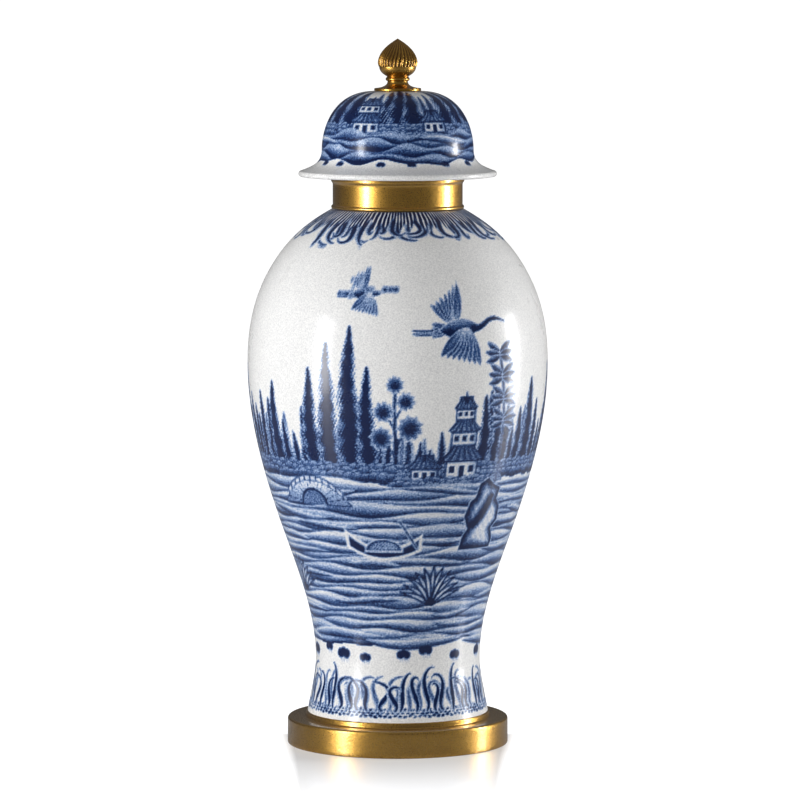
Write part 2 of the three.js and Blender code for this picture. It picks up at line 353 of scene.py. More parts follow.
def copse(canvas, start, stop, foot, tall, spread, dark=0.92):
    """A row of conifers of mixed heights, with the far ones paler and drawn first."""
    chance = canvas.chance
    for near, shift in ((0, 0.0), (1, 0.5)):
        place = start + shift * spread
        while place < stop:
            height = tall * chance.uniform(0.5, 1.0) * (0.85 + 0.15 * near)
            width = height * chance.uniform(0.1, 0.14) + 0.8
            cypress(canvas, place, foot + chance.uniform(-3, 3), height, width, dark * (0.62 + 0.38 * near))
            place += spread * chance.uniform(0.7, 1.25)


def foliage(canvas, azimuth, height, size):
    """A ball of foliage, dark at its heart and broken at its edge."""
    found, x, y = canvas.near(azimuth, height, (size * 1.4, size * 1.4))
    angle = np.arctan2(y, x)
    lobed = size * (1 + 0.1 * sin(9 * angle + azimuth) + 0.05 * sin(17 * angle + height))
    t = hypot(x, y) / lobed
    shade = 0.92 * (1 - 0.6 * step(0.3, 1.05, t)) * (1 - 0.2 * step(-0.6, 1, y / size))
    canvas.lay(found, covered((t - 1) * size - 0.8, 1.0), 0.06)
    canvas.lay(found, covered((t - 1) * size), shade)


def round_tree(canvas, azimuth, foot, height, size):
    """A slender trunk that carries balls of foliage, smaller towards the top."""
    trunk = curve((0, 0), (1.5, height * 0.4), (-2, height * 0.7), (0.5, height * 0.9))
    canvas.line(azimuth, foot, trunk, (1.6, 0.8), 0.85)
    for side, level, share in ((-1.0, 0.42, 0.82), (1.05, 0.52, 0.9), (-0.8, 0.68, 0.72),
                               (0.75, 0.78, 0.66), (0.0, 0.94, 0.62)):
        twig = curve((0, height * (level - 0.18)), (side * size * 0.5, height * (level - 0.08)),
                     (side * size, height * level))
        canvas.line(azimuth, foot, twig, (0.9, 0.6), 0.8)
        turn = canvas.degrees_for(side * size, foot)
        foliage(canvas, azimuth + turn, foot + height * level, size * share)


def bushes(canvas, start, stop, foot, rows, size):
    """A bank of low rounded bushes, each row in front of the one above it."""
    chance = canvas.chance
    pitch = canvas.degrees_for(size * 1.35, foot)
    for row in range(rows, -1, -1):
        inset = pitch * (0.5 * (row % 2) + 0.35 * row)
        for place in np.arange(start + inset, stop - inset, pitch):
            lobe = size * chance.uniform(0.8, 1.25)
            middle = foot + row * size * 0.72 + chance.uniform(-1, 1)
            found, x, y = canvas.near(place, middle, (lobe * 1.5, lobe * 1.3))
            t = hypot(x, y * 1.15) / lobe
            top = step(-0.5, 1, y / lobe)
            shade = 0.85 * mix(1.0, 0.26, top) + 0.55 * step(0.82, 1.0, t) * top
            canvas.lay(found, covered((t - 1) * lobe) * step(-1.3, -0.7, y / lobe), shade)


def tuft(canvas, azimuth, height, size):
    """A small dark clump of three lobes whose roots fade downwards."""
    found, x, y = canvas.near(azimuth, height, (size * 1.6, size * 2))
    lobes = [hypot(x - k * 0.5 * size, 0.9 * y - 0.16 * size * (k == 0)) - size * 0.56 for k in (-1, 0, 1)]
    roots = maximum(abs(x + y * 0.2) - size * 0.7, abs(y + size * 0.75) - size * 0.75)
    fade = clip(1 + y / (size * 1.4), 0, 1)
    canvas.lay(found, covered(roots, 1.2), 0.55 * fade * (0.55 + 0.45 * sin(x * 3.4 + azimuth)))
    canvas.lay(found, covered(minimum(minimum(lobes[0], lobes[1]), lobes[2])), 0.92)


def hall(canvas, azimuth, foot, width, height, tiers):
    """A tiled hall or pagoda: white walls and a curved roof on each tier."""
    level, windows = foot, 3
    for tier in range(tiers):
        shrink = 1 - 0.2 * tier
        half, wall, roof = width * shrink / 2, height * shrink * 0.46, height * shrink * 0.54
        found, x, y = canvas.near(azimuth, level, (width * 0.9, (wall + roof) * 1.3))
        box = maximum(abs(x) - half * 0.78, abs(y - wall / 2) - wall / 2)
        canvas.lay(found, covered(box - 0.9), 0.85)
        canvas.lay(found, covered(box + 0.3), 0.05 + 0.2 * step(0.2, 1, x / half))
        for n in range(windows):
            at = (n - (windows - 1) / 2) * half * 1.5 / windows
            door = tier == 0 and n == windows // 2
            tall = wall * (0.36 if door else 0.2)
            hole = maximum(abs(x - at) - half * 0.13, abs(y - (tall if door else wall * 0.52)) - tall)
            canvas.lay(found, covered(hole, 1.0), 0.88)
        eave = half * (1.32 - 0.06 * tier)
        t = clip((y - wall) / roof, 0, 1)
        side = mix(eave, half * 0.5, step(-0.25, 0.9, t) ** 0.8)
        curl = roof * 0.34 * step(0.62, 1, abs(x) / eave)
        past = maximum(abs(x) - side, maximum(wall + curl - y, y - wall - roof))
        canvas.lay(found, covered(past - 0.7), 0.92)
        tiles = 0.5 + 0.5 * sin(x / (side + 0.1) * 19)
        canvas.lay(found, covered(past + 0.5), 0.4 + 0.3 * tiles + 0.16 * t)
        level += wall + roof * 0.82
    canvas.line(azimuth, level, ((0, -2), (0, height * 0.2)), (1.3, 0.4), 0.9)


def bridge(canvas, azimuth, height, span, rise):
    """A stone bridge with one arch and a railing."""
    found, x, y = canvas.near(azimuth, height, (span * 0.62, rise * 2.4))
    deck = rise * (1.25 - (x / (span / 2)) ** 2) * 0.95
    arch = hypot(x / 0.95, y + rise * 0.05) - rise * 0.8
    past = maximum(maximum(maximum(y - deck, -y), abs(x) - span * 0.55), -arch)
    canvas.lay(found, covered(maximum(arch, -y)), 0.5)
    joints = step(0.8, 0.95, (np.arctan2(y, x) * 5) % 1) * 0.4
    canvas.lay(found, covered(past - 0.8), 0.88)
    canvas.lay(found, covered(past + 0.4), 0.08 + joints + 0.3 * step(0, 0.9, 1 - y / (rise + 1)))
    canvas.lay(found, covered(abs(arch) - 0.8) * covered(-y), 0.92)
    rail = abs(y - deck - 4.2) - 0.55
    posts = maximum(abs((x + 3) % 6 - 3) - 0.6, abs(y - deck - 2) - 2.4)
    canvas.lay(found, covered(y - deck - 4.6) * covered(deck - y) * covered(abs(x) - span * 0.5), 0.08)
    canvas.lay(found, covered(minimum(rail, posts)) * covered(abs(x) - span * 0.5), 0.85)


def boat(canvas, azimuth, height, size):
    """A flat river boat with an arched cabin and a pole."""
    found, x, y = canvas.near(azimuth, height, (size * 0.75, size * 0.6))
    x = -x  # the bow points to the left
    half = size / 2
    sheer = 0.17 * size * (x / half) ** 2 * (1 + 0.35 * (x > 0))
    hull = maximum(maximum(y - sheer, sheer * 0.7 - 5.2 - y), abs(x) - half)
    canvas.lay(found, covered(hull - 3.4, 1.8), 0.03)
    canvas.lay(found, covered(hull), mix(0.97, 0.5, step(-3.5, 1, y - sheer)))
    cabin = maximum(hypot(x / 1.5, y) - size * 0.16, 0.6 - y)
    canvas.lay(found, covered(cabin - 1.8, 1.4), 0.03)
    canvas.lay(found, covered(cabin), 0.22 + 0.32 * (((x + y) / 2.8) % 1))
    canvas.lay(found, covered(abs(cabin) - 0.6) * (y > 0.4), 0.92)
    pole = curve((-half * 0.95, 3), (-half * 0.45, size * 0.46), steps=1)
    canvas.lay(found, covered(past_line(x, y, pole, (1.6, 1.4))), 0.05)
    canvas.lay(found, covered(past_line(x, y, pole, (0.6, 0.5))), 0.9)


def feather(canvas, azimuth, height, root, tip, width, dark):
    """A pointed brush mark that darkens towards its tip and along its edges."""
    found, x, y = canvas.near(azimuth, height, np.abs([root, tip]).max(axis=0) + width + 4)
    past, along, across = past_leaf(x, y, root, tip, width)
    canvas.lay(found, covered(past - 0.8, 1.0), 0.03)
    canvas.lay(found, covered(past), mix(0.34, dark, clip(0.5 * along + 0.6 * abs(across) ** 1.5, 0, 1)))


def crane(canvas, azimuth, height, size, dark=0.97):
    """A long-necked bird in flight, with fans of wing feathers and trailing legs."""

    def at(x, y):
        return (x * size, y * size)

    for leg in (-0.02, 0.05):
        bent = curve(at(-0.3, leg), at(-0.7, leg - 0.1), at(-1.0, leg - 0.05))
        canvas.line(azimuth, height, bent, (0.9, 0.5), dark)
    for n in range(7):
        t = n / 6
        feather(canvas, azimuth, height, at(-0.02 - 0.08 * t, 0.05), at(-0.62 + 0.66 * t, 0.5 + 0.4 * t),
                size * 0.082, dark * 0.97)
    for n in range(4):
        feather(canvas, azimuth, height, at(-0.22, 0.02), at(-0.62, -0.14 + 0.09 * n), size * 0.05, dark)
    found, x, y = canvas.near(azimuth, height, (size * 1.4, size * 1.4))
    past, _, across = past_leaf(x, y, at(-0.45, -0.01), at(0.42, 0.05), size * 0.19)
    canvas.lay(found, covered(past - 0.8, 1.0), 0.03)
    canvas.lay(found, covered(past), mix(dark, 0.4, step(-0.5, 0.9, across)))
    neck = curve(at(0.28, 0.03), at(0.5, -0.03), at(0.6, 0.22), at(0.84, 0.2))
    canvas.line(azimuth, height, neck, (size * 0.062, size * 0.032), dark * 0.9)
    canvas.line(azimuth, height, curve(at(0.82, 0.2), at(0.95, 0.19), at(1.1, 0.13)), (1.3, 0.4), dark)
    for n in range(8):
        t = n / 7
        feather(canvas, azimuth, height, at(0.16 - 0.14 * t, 0.03 - 0.02 * t),
                at(0.4 - 0.85 * t, -0.72 + 0.2 * t), size * 0.088, dark)


def leaf(canvas, azimuth, height, angle, long, width, dark):
    """A pointed leaf with a dark rib, one half darker than the other."""
    found, x, y = canvas.near(azimuth, height, (long + 3, long + 3))
    past, along, across = past_leaf(x, y, (0, 0), (long * math.cos(angle), long * math.sin(angle)), width)
    shade = mix(0.3, dark, step(-0.9, 0.7, across)) + 0.25 * (1 - along)
    shade = maximum(shade, dark * covered(abs(across) * width - 0.35, 1.0))
    canvas.lay(found, covered(past - 0.7, 1.0), 0.04)
    canvas.lay(found, covered(past), clip(shade, 0, 1))


def blossom(canvas, azimuth, height, size, petals):
    """A full flower: cupped petals, a pale ring inside them and a dark heart."""
    dark = 0.88
    found, x, y = canvas.near(azimuth, height, (size * 1.3, size * 1.3))
    angle = np.arctan2(y, x) + azimuth
    lobe = abs(cos(petals * angle / 2)) ** 0.5
    t = hypot(x, y) / (size * (0.84 + 0.16 * lobe))
    inner = abs(cos((petals - 3) * angle / 2 + 1)) ** 0.5
    shade = mix(0.3, dark, step(0.6, 0.98, t))
    shade = maximum(shade, dark * (1 - step(0.0, 0.16, lobe)) * step(0.35, 0.6, t))
    shade = maximum(shade, dark * (1 - step(0.03, 0.12, abs(t - 0.52 - 0.07 * inner))))
    shade = mix(shade, 0.1, (1 - step(0.05, 0.16, abs(t - 0.4))) * 0.85)
    shade = maximum(shade, dark * (1 - step(0.12, 0.26, t)))
    canvas.lay(found, covered((t - 1) * size - 0.9, 1.0), 0.03)
    canvas.lay(found, covered((t - 1) * size), shade)


def spray(canvas, azimuth, foot, height, lean, flowers):
    """A stem with leaves that carries flowers, the largest lowest."""
    stem = curve((0, 0), (lean * 0.1, height * 0.5), (lean, height), steps=10)
    canvas.line(azimuth, foot, stem, (1.3, 0.7), 0.85)
    for n in range(2, 10):
        x, y = stem[n]
        for side in (-1, 1):
            leaf(canvas, azimuth + canvas.degrees_for(x, foot + y), foot + y - 2, math.pi / 2 - side * 1.05,
                 height * 0.15, 3.4, 0.9)
    for n in range(flowers):
        level = 1 - 0.9 * n / flowers
        x, y = stem[round(10 * level)]
        side = (-1) ** n * (4 + 3 * n) if n else 0
        blossom(canvas, azimuth + canvas.degrees_for(x + side, foot + y), foot + y, 7.5 + 2.4 * n, 6 + n)


def rock(canvas, azimuth, foot, width, height):
    """A standing garden rock: white down its middle and dark at its worn edges."""
    outline = np.array([
        (-0.5, -0.04), (-0.46, 0.16), (-0.36, 0.26), (-0.5, 0.44), (-0.42, 0.66), (-0.3, 0.72),
        (-0.24, 0.92), (-0.04, 1.0), (0.12, 0.9), (0.34, 0.84), (0.3, 0.68), (0.46, 0.56),
        (0.5, 0.36), (0.36, 0.24), (0.52, 0.08), (0.5, -0.04),
    ])
    found, x, y = canvas.near(azimuth, foot + height / 2, (width, height * 0.75))
    y = y + height / 2
    past = past_shape(x, y, outline * (width, height))
    fold = curve((-width * 0.3, height * 0.3), (0, height * 0.42), (width * 0.12, height * 0.72))
    crease = past_line(x, y, fold, (0.5, 1.2, 0.3))
    worn = minimum(-past, maximum(crease, 0) * 1.3)
    shade = mix(0.92, 0.05, step(0, width * mix(0.34, 0.16, step(-0.5, 0.5, x / width)), worn))
    shade = shade + 0.1 * sin(y / 3.1 + x / 2) ** 2
    canvas.lay(found, covered(past - 0.9, 1.0), 0.04)
    canvas.lay(found, covered(past), clip(shade, 0.05, 0.95))


def reeds(canvas, azimuth, foot, size):
    """A fan of arching blades, pale with dark edges."""
    blades, spread = 11, 1.15
    for n in range(blades):
        t = (n / (blades - 1) - 0.5) * (2 if n % 2 else -2)
        angle = math.pi / 2 - t * spread
        tip = np.array((math.cos(angle), math.sin(angle))) * size * (1 - 0.18 * abs(t))
        blade = curve((t * 2.5, 0), (tip[0] * 0.35, tip[1] * 0.7), tuple(tip), steps=6)
        canvas.line(azimuth, foot, blade, (1.2, 2.8, 2.2, 0.8), 0.9)
        canvas.line(azimuth, foot, blade[1:-1], (0.3, 1.4, 1.0, 0.3), 0.06)


def bamboo(canvas, azimuth, foot, height, lean):
    """A jointed cane with drooping leaves."""
    joints, dark = 6, 0.85
    for n in range(joints):
        a, b = n / joints, (n + 0.94) / joints
        cane = ((lean * a * a, height * a), (lean * b * b, height * b))
        canvas.line(azimuth, foot, cane, (1.4, 1.2), dark * 0.8)
    for n in range(3, joints + 1):
        level = n / joints
        place = azimuth + canvas.degrees_for(lean * level * level, foot)
        for side in (-1, 1):
            for k in range(3):
                leaf(canvas, place, foot + height * level - 2 * k, math.pi / 2 - side * (1.0 + 0.42 * k),
                     height * 0.14, 2.6, dark)


def leaf_border(canvas, root, tip, count, seed, widths, curl, tones):
    """A row of hooked leaves from one height to another, all the way round, in front of a paler row."""
    chance = np.random.default_rng(seed)
    rise = tip - root
    for layer, tone in enumerate(tones):
        for n in range(count):
            tall = rise * chance.uniform(0.6, 0.96) * (0.9 + 0.1 * layer)
            hook = abs(rise) * curl * chance.uniform(0.25, 1.0) * chance.choice((-1, 1))
            lean = abs(rise) * chance.uniform(-0.14, 0.14)
            drop = chance.uniform(0.8, 1.16)
            stem = curve((0, 0), (0.9 * hook, 0.3 * tall), (-1.6 * hook + lean, 0.75 * tall),
                         (0.5 * hook + lean, 1.2 * tall), (hook + lean, drop * tall), steps=12)
            azimuth = 360 * (n + 0.5 * layer + chance.uniform(-0.3, 0.3)) / count
            found, x, y = canvas.near(azimuth, root, np.abs(stem).max(axis=0) + MARGIN)
            past = past_line(x, y, stem, widths)
            side = 0.34 * max(widths) * np.sign(hook)
            stroke = past_line(x - side, y, stem, 0.7 * np.array(widths))
            canvas.lay(found, covered(past - 0.6, 1.0), 0.03)
            canvas.lay(found, covered(past, 1.2), 0.3 * tone)
            canvas.lay(found, covered(maximum(past, stroke), 1.2), 0.95 * tone)


def pebble_rows(canvas, low_row, rows, pitch, size):
    """Rows of small oval dots all the way round, each row set between the dots of the last."""
    for row in range(rows):
        height = low_row + row * pitch * 0.62
        count = round(math.tau * np.interp(height, canvas.heights, canvas.radii) / pitch)
        cell = (canvas.azimuth % 360) / 360 * count + 0.5 * (row % 2)
        wobble = np.floor(cell) * 2.4 + row
        x = (cell % 1 - 0.5) * pitch
        y = canvas.height - height + 0.5 * sin(wobble) - 0.2 * x * sin(3 * wobble)
        past = hypot(x * 0.6, y) - size * (1 + 0.2 * sin(5 * wobble))
        canvas.lay(slice(None), covered(past, 1.1), 0.95)


def neck_border(canvas, root, tip, count):
    """Dense strands that hang from the neck band, with dark hooked leaves over them."""
    leaf_border(canvas, root, tip, count, 5, (1.4, 2.3, 1.9, 1.0, 0.3), 0.36, (0.85, 1.0))
    v = (root - canvas.height) / (root - tip)
    turn = radians(canvas.azimuth)
    strand = 0.5 + 0.5 * sin(3 * count * turn + 3 * sin(0.25 * count * turn) + 4 * v)
    ends = 0.34 + 0.1 * sin(count * turn + 1) + 0.08 * sin(0.5 * count * turn)
    inside = step(0.1, -0.06, v - ends) * (v > -0.05)
    canvas.lay(slice(None), inside, step(0.16, 0.46, strand))


def landscape(canvas):
    """The river landscape round the jar, between two borders of curled leaves."""
    bank, shore, water_foot = 240, 238, 101
    for row in ((-100, -62, 244, 68, 4.4), (-62, -34, 246, 62, 4.6), (-34, 2, 248, 52, 3.9),
                (2, 36, 248, 38, 4.0, 0.84), (36, 62, 246, 70, 4.4), (62, 98, 245, 66, 4.8),
                (98, 262, 246, 62, 5.0, 0.85)):
        copse(canvas, *row)
    for azimuth, height, width in ((-84, 92, 12), (-56, 82, 10), (-36, 96, 11), (-28, 118, 12),
                                   (-19, 132, 14), (-12, 98, 11), (36, 72, 9), (62, 84, 11),
                                   (82, 94, 12), (160, 96, 11), (172, 112, 12), (205, 90, 10)):
        cypress(canvas, azimuth, bank, height, width)
    for azimuth, height, size in ((-1, 88, 11), (-90, 96, 12), (130, 92, 12)):
        round_tree(canvas, azimuth, bank, height, size)
    bushes(canvas, -180, 180, 243, 2, 5.6)
    hall(canvas, 27, bank + 2, 36, 31, 3)
    hall(canvas, 11, bank, 28, 22, 1)
    hall(canvas, 188, bank + 2, 40, 34, 2)
    bushes(canvas, -2, 50, 236, 1, 4.6)
    water(canvas, shore, water_foot, 6.8, 76, seed=0.7, swing=0.2)
    bridge(canvas, -40, 217, 66, 18)
    boat(canvas, -7, 178, 58)
    boat(canvas, 168, 180, 50)
    rock(canvas, 43, 180, 40, 60)
    bamboo(canvas, 46, 236, 112, -8)
    for azimuth, foot, size in ((20, 130, 34), (-72, 138, 30), (118, 140, 30), (222, 150, 30)):
        reeds(canvas, azimuth, foot, size)
    spray(canvas, 96, 232, 126, 12, 4)
    for flying in ((25, 368, 42), (-13, 398, 25, 0.94), (182, 352, 32)):
        crane(canvas, *flying)
    for n in range(6):
        pillow(canvas, 60 * n - 42 + 8 * math.sin(4 * n), water_foot - 3 + 5 * math.sin(2.3 * n + 1),
               92, 10, 0.03 * (-1) ** n)
    for n in range(17):
        tuft(canvas, n * 21.2 + 4 + 6 * math.sin(5 * n), 86 + 3.5 * math.sin(n * 1.9), 5.6 + math.sin(3 * n))
    pebble_rows(canvas, 33.5, 3, 4.3, 0.95)
    leaf_border(canvas, 38, 73, 50, 3, (1.1, 2.5, 2.1, 1.2, 0.3), 0.4, (0.6, 1.0))
    neck_border(canvas, 463.5, 436, 44)


def lid_landscape(canvas, brim):
    """Wooded hills with small halls round the dome. Heights run along the dome from its brim's edge."""
    base = brim + 13
    copse(canvas, -180, 180, base + 6, 46, 9.0, 0.7)
    for n in range(9):
        pillow(canvas, 40 * n + 18, base + 9 + 3 * (n % 2), 56, 16, 0.12 * (-1) ** n, pale=0.32, dark=1.0)
    for azimuth, height, width in ((-78, 60, 11), (-62, 66, 12), (-45, 60, 12), (-8, 58, 11), (3, 66, 12),
                                   (14, 56, 11), (48, 62, 12), (62, 62, 12), (77, 60, 11), (110, 56, 11),
                                   (140, 60, 12), (168, 50, 10), (200, 58, 12), (230, 62, 12), (258, 56, 11)):
        cypress(canvas, azimuth, base, height, width)
    bushes(canvas, -180, 180, base + 2, 2, 4.2)
    for azimuth, above, width, height, tiers in ((-27, 3, 32, 21, 2), (31, 4, 26, 20, 1),
                                                 (180, 3, 26, 20, 2)):
        hall(canvas, azimuth, base + above, width, height, tiers)
    bushes(canvas, -46, 44, base - 2, 1, 3.8)
    water(canvas, base + 3, brim - 3, 6.2, 60,
          seed=2.0, turns=(4, 5, 7, 11), swing=0.24, pale=0.3, dark=1.0)
    for n in range(14):
        tuft(canvas, n * 25.7 + 10 + 4 * math.sin(3 * n), brim - 11.5, 3.6)


# Turned forms

def spaced(*stops):
    """Values from stop to stop, with an even number of steps in each stretch: (start, spacing), ..., end"""
    values = []
    for (start, gap), after in zip(stops, stops[1:]):
        stop = after[0] if isinstance(after, tuple) else after
        values.extend(np.linspace(start, stop, 2 * max(1, round((stop - start) / gap / 2)), endpoint=False))
    return np.array(values + [stops[-1]])


def arc(centre, radius, start, stop, steps):
    """Points of an arc from one angle to another, in degrees."""
    turn = radians(np.linspace(start, stop, steps + 1))
    return [(centre[0] + radius * cos(a), centre[1] + radius * sin(a)) for a in turn]


def bend(*ends, steps):
    """Points of a Bezier without its first."""
    return [tuple(p) for p in curve(*ends, steps=steps)[1:]]


def spin(name, outline, azimuths, coarse=(), form=None, values=None, joint=None):
    """A closed mesh turned from an outline of (radius, height), in metres, over the azimuths.

    The outline starts and ends on the axis, or ends where it starts. The rings named in coarse, which
    nobody sees, have half the columns. form moves the finished points. values gives numbers for the
    points of a run of rings, and joint is the (ring, slope) where the outer wall meets another mesh,
    so that light runs over the joint unbroken.
    """
    n = len(azimuths)
    coarse = set(coarse)
    looped = tuple(outline[0]) == tuple(outline[-1])
    counts = [1 if r == 0 else n // 2 if i in coarse else n for i, (r, z) in enumerate(outline)]
    starts = np.cumsum([0] + counts)
    points = []
    for (r, z), count in zip(outline[:-1] if looped else outline, counts):
        a = radians(azimuths[:: n // count][:count])
        points.append(np.stack([r * sin(a), -r * cos(a), np.full(count, z)], axis=1))
    points = np.concatenate(points)
    runs = [math.dist(a, b) * (0.12 if i in coarse or i + 1 in coarse else 1)
            for i, (a, b) in enumerate(zip(outline, outline[1:]))]
    level = np.concatenate([[0], np.cumsum(runs)]) / sum(runs)
    share = np.append((azimuths - azimuths[0]) / 360, 1.0)
    corners, places = [], []

    def add(*ring_column):
        """Faces whose corners are given by ring and column, all the way round."""
        ids, uvs = [], []
        for ring, column in ring_column:
            per = n // counts[ring] if counts[ring] > 1 else n
            index = np.zeros_like(column) if counts[ring] == 1 else (column // per) % counts[ring]
            ids.append(index if looped and ring == len(outline) - 1 else starts[ring] + index)
            uvs.append(np.stack([share[column], np.full(len(column), level[ring])], axis=1))
        corners.extend(np.stack(ids, axis=1).tolist())
        places.append(np.stack(uvs, axis=1).reshape(-1, 2))

    for i in range(len(outline) - 1):
        a, b = counts[i], counts[i + 1]
        if a == 1:
            c = np.arange(0, n, n // b)
            add((i, c), (i + 1, c + n // b), (i + 1, c))
        elif b == 1:
            c = np.arange(0, n, n // a)
            add((i, c), (i, c + n // a), (i + 1, c))
        elif a == b:
            c = np.arange(0, n, n // a)
            add((i, c), (i, c + n // a), (i + 1, c + n // a), (i + 1, c))
        elif a > b:
            c = np.arange(0, n, 2)
            add((i, c), (i, c + 1), (i + 1, c))
            add((i, c + 1), (i + 1, c + 2), (i + 1, c))
            add((i, c + 1), (i, c + 2), (i + 1, c + 2))
        else:
            c = np.arange(0, n, 2)
            add((i, c), (i, c + 2), (i + 1, c + 1))
            add((i, c), (i + 1, c + 1), (i + 1, c))
            add((i, c + 2), (i + 1, c + 2), (i + 1, c + 1))
    if form:
        points = form(points)
    mesh = bpy.data.meshes.new(name)
    mesh.from_pydata(points.tolist(), [], corners)
    layer = mesh.uv_layers.new(name="OFBake")
    layer.data.foreach_set("uv", np.concatenate(places).astype(np.float32).ravel())
    for label, (ring, numbers) in (values or {}).items():
        whole = np.zeros(len(points), np.float32)
        whole[starts[ring]:starts[ring] + len(numbers)] = numbers
        mesh.attributes.new(label, "FLOAT", "POINT").data.foreach_set("value", whole)
    mesh.shade_smooth()
    mesh.set_sharp_from_angle(angle=math.radians(38))
    if joint:
        ring, lean = joint
        used = np.zeros(len(mesh.loops), int)
        mesh.loops.foreach_get("vertex_index", used)
        at = points[used]
        normals = np.stack([at[:, 0], at[:, 1], -lean * hypot(at[:, 0], at[:, 1])], axis=1)
        normals /= np.linalg.norm(normals, axis=1)[:, None] + 1e-12
        flat = np.repeat([abs(face.normal.z) > 0.95 for face in mesh.polygons],
                         [face.loop_total for face in mesh.polygons])
        normals[(used < starts[ring]) | (used >= starts[ring + 1]) | flat] = 0
        mesh.normals_split_custom_set(normals.tolist())
    piece = bpy.data.objects.new(name, mesh)
    bpy.context.scene.collection.objects.link(piece)
    return piece


def fit(piece, node, slot, *materials):
    """Puts a finished piece in the place of its CAD node."""
    for material in materials:
        piece.data.materials.append(material)
    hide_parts(node)
    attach(piece, "root")


# Materials

def put(tree, kind, inputs=None, **settings):
    """Adds a node to a tree, sets it and joins what is linked to it."""
    made = tree.nodes.new("ShaderNode" + kind)
    for name, value in settings.items():
        setattr(made, name, value)
    for name, value in (inputs or {}).items():
        if isinstance(value, bpy.types.NodeSocket):
            tree.links.new(value, made.inputs[name])
        else:
            made.inputs[name].default_value = value
    return made


def sum_of(tree, operation, *values, clamp=False):
    """A Math node's result."""
    return put(tree, "Math", dict(enumerate(values)), operation=operation, use_clamp=clamp).outputs[0]


def span(tree, value, low_in, high_in, low_out, high_out):
    """A value taken from one range to another."""
    inputs = {"Value": value, "From Min": low_in, "From Max": high_in, "To Min": low_out, "To Max": high_out}
    return put(tree, "MapRange", inputs).outputs[0]


def noise(tree, vector, size, detail, roughness=0.5):
    """Noise whose patches are about a size across, in metres."""
    inputs = {"Vector": vector, "Scale": 1 / size, "Detail": detail, "Roughness": roughness}
    return put(tree, "TexNoise", inputs).outputs[0]


def blend(tree, factor, a, b, mode="MIX"):
    """Two colours mixed by a factor."""
    return put(tree, "Mix", {0: factor, 6: a, 7: b}, data_type="RGBA", blend_type=mode).outputs[2]


def group(name, takes, gives):
    """A new shader node group with its named sockets."""
    tree = bpy.data.node_groups.new(name, "ShaderNodeTree")
    for direction, sockets in (("INPUT", takes), ("OUTPUT", gives)):
        for label, (kind, value) in sockets.items():
            socket = tree.interface.new_socket(label, in_out=direction, socket_type="NodeSocket" + kind)
            if value is not None:
                socket.default_value = value
    return tree, tree.nodes.new("NodeGroupInput").outputs, tree.nodes.new("NodeGroupOutput").inputs


def worn_surface():
    """Fine grain, soft patches and specks: the small unevenness that every finish here has."""
    tree, takes, gives = group(
        "Surface unevenness",
        {"Vector": ("Vector", None), "Grain Size": ("Float", 0.001), "Patch Size": ("Float", 0.03)},
        {"Grain": ("Float", None), "Patches": ("Float", None), "Specks": ("Float", None)},
    )

    def sized(size_socket, detail, share=1.0):
        scale = sum_of(tree, "DIVIDE", share, size_socket)
        made = put(tree, "TexNoise", {"Vector": takes["Vector"], "Scale": scale, "Detail": detail})
        return made.outputs[0]

    grain = span(tree, sized(takes["Grain Size"], 2), 0.3, 0.7, 0, 1)
    patches = span(tree, sized(takes["Patch Size"], 4), 0.32, 0.68, 0, 1)
    specks = span(tree, sized(takes["Grain Size"], 1, 0.35), 0.66, 0.74, 0, 1)
    for label, value in (("Grain", grain), ("Patches", patches), ("Specks", specks)):
        tree.links.new(value, gives[label])
    return tree


def placed(tree, shared, **inputs):
    """A shared node group placed in a material."""
    return put(tree, "Group", {name.replace("_", " "): value for name, value in inputs.items()},
               node_tree=shared).outputs


def new_material(name):
    material = bpy.data.materials.new(name)
    material.use_nodes = True
    tree = material.node_tree
    tree.nodes.clear()
    shader = tree.nodes.new("ShaderNodeBsdfPrincipled")
    output = tree.nodes.new("ShaderNodeOutputMaterial")
    tree.links.new(shader.outputs[0], output.inputs[0])
    place = tree.nodes.new("ShaderNodeTexCoord").outputs["Object"]
    return material, tree, shader, place


def relief(tree, shader, height, distance):
    """Joins a height to the shader's normal."""
    bump = put(tree, "Bump", {"Height": height, "Distance": distance, "Strength": 1.0})
    tree.links.new(bump.outputs[0], shader.inputs["Normal"])


